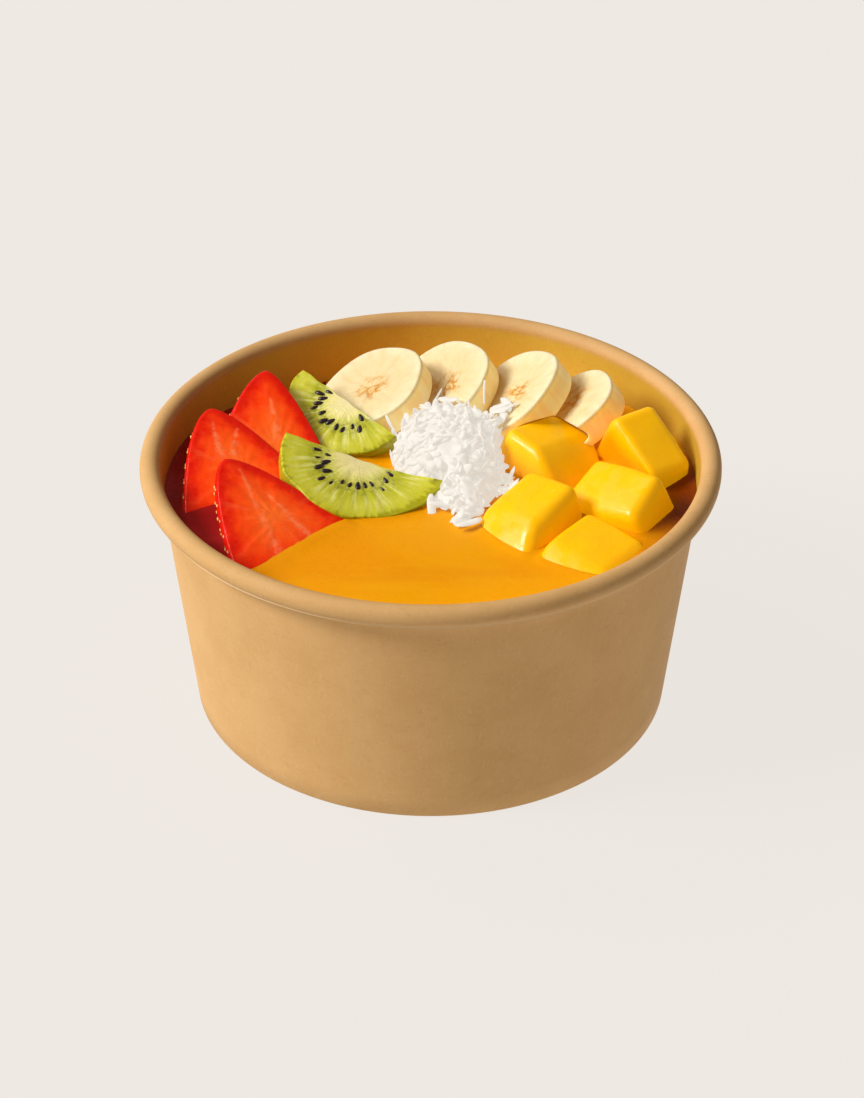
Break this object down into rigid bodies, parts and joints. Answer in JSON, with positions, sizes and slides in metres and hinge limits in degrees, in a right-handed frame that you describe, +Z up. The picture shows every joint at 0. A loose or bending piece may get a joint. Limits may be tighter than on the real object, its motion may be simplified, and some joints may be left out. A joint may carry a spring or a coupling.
{
  "type": "acai bowl",
  "caption": "Round brown paper bowl filled with thick mango and acai puree, topped with banana, strawberry, kiwi, mango cubes and a heap of grated coconut.",
  "frame": {"origin": "middle of the bowl's foot, on the surface it stands on", "axes": "+Z up through the middle of the bowl; +Y to the back, where the banana slices are; +X to the right, where the mango cubes are"},
  "size_m": [0.15, 0.15, 0.0788],
  "materials": {
    "kraft_paper": "unbleached brown paper, matt with fine fibres",
    "mango_puree": "thick smooth orange-yellow fruit puree, soft wet shine",
    "acai_puree": "thick dark purple-red berry puree, soft wet shine",
    "banana": "cream banana flesh with a darker core",
    "strawberry": "red cut strawberry, paler in the middle, moist",
    "kiwi": "green kiwi flesh with black seeds round a pale core, moist",
    "mango": "bright yellow-orange mango flesh, moist",
    "coconut": "white grated coconut"
  },
  "bodies": {
    "root": {"acai_puree": "acai_puree", "mango_puree": "mango_puree", "banana_slice_1": "banana", "banana_slice_2": "banana", "banana_slice_3": "banana", "banana_slice_4": "banana", "bowl_bottom": "kraft_paper", "bowl_side": "kraft_paper", "coconut_heap": "coconut", "kiwi_slice_1": "kiwi", "kiwi_slice_2": "kiwi", "mango_cube_1": "mango", "mango_cube_2": "mango", "mango_cube_3": "mango", "mango_cube_4": "mango", "mango_cube_5": "mango", "strawberry_slice_1": "strawberry", "strawberry_slice_2": "strawberry", "strawberry_slice_3": "strawberry"}
  },
  "joints": []
}
